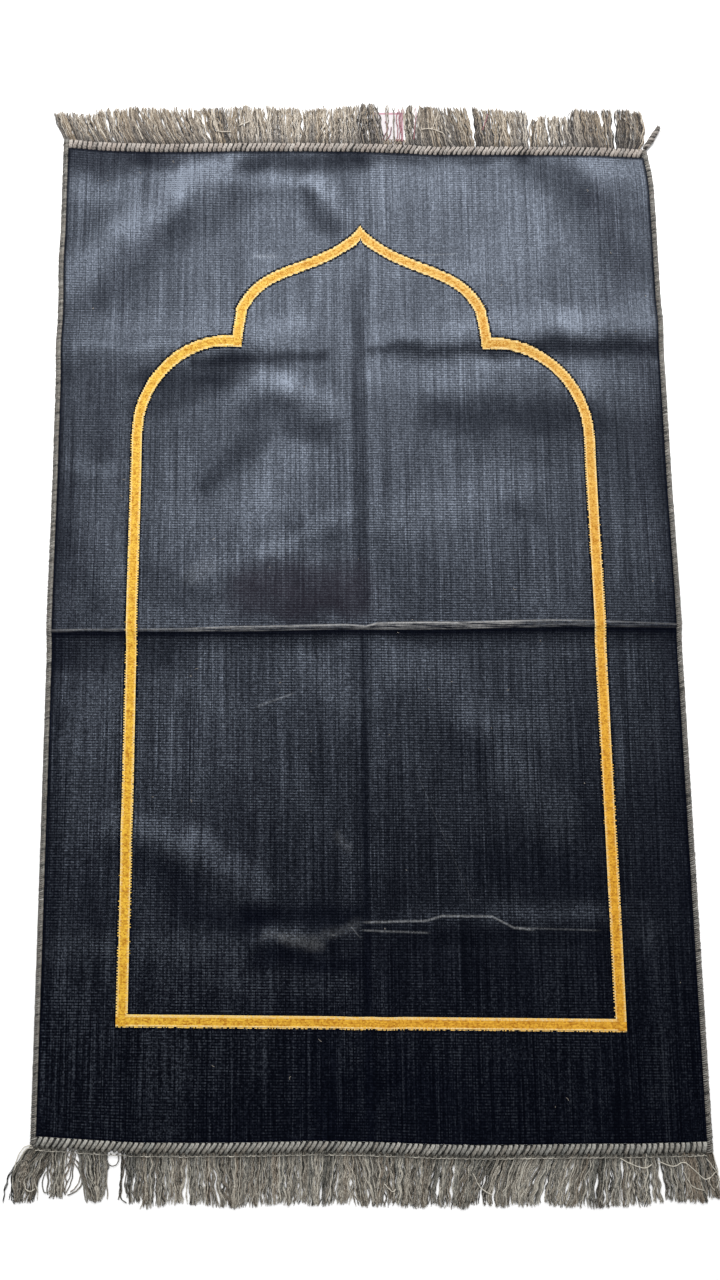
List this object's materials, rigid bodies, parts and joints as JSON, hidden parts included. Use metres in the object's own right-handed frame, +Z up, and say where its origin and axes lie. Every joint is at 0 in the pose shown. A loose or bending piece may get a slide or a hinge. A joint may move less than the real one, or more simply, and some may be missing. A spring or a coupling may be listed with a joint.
{
  "type": "prayer rug",
  "caption": "Flat velvet prayer rug with a woven arch line, yarn-whipped ends, overcast sides, fringed ends, a bare label and storage creases.",
  "frame": {"origin": "on the floor, under the middle of the whole rug's outline with its fringes", "axes": "+Y along the rug, from its near end to the end that the arch points to; +X to the right across it; +Z up from the floor"},
  "size_m": [0.708, 1.2054, 0.0102],
  "materials": {
    "pile": "dark navy cut pile velvet with a woven gold arch line, worn pale along the folds",
    "whip_yarn": "grey two-ply yarn, whipped in slanted stitches",
    "side_thread": "fine grey and black overcast thread",
    "fringe_yarn": "loose fine taupe yarn",
    "label_ribbon": "bare white woven ribbon"
  },
  "bodies": {
    "root": {"pile_cloth": "pile", "whipped_end_near": "whip_yarn", "whipped_end_far": "whip_yarn", "side_overcast_left": "side_thread", "side_overcast_right": "side_thread", "fringe_near": "fringe_yarn", "fringe_far": "fringe_yarn", "sewn_label": "label_ribbon", "corner_tail": "fringe_yarn"}
  },
  "joints": []
}
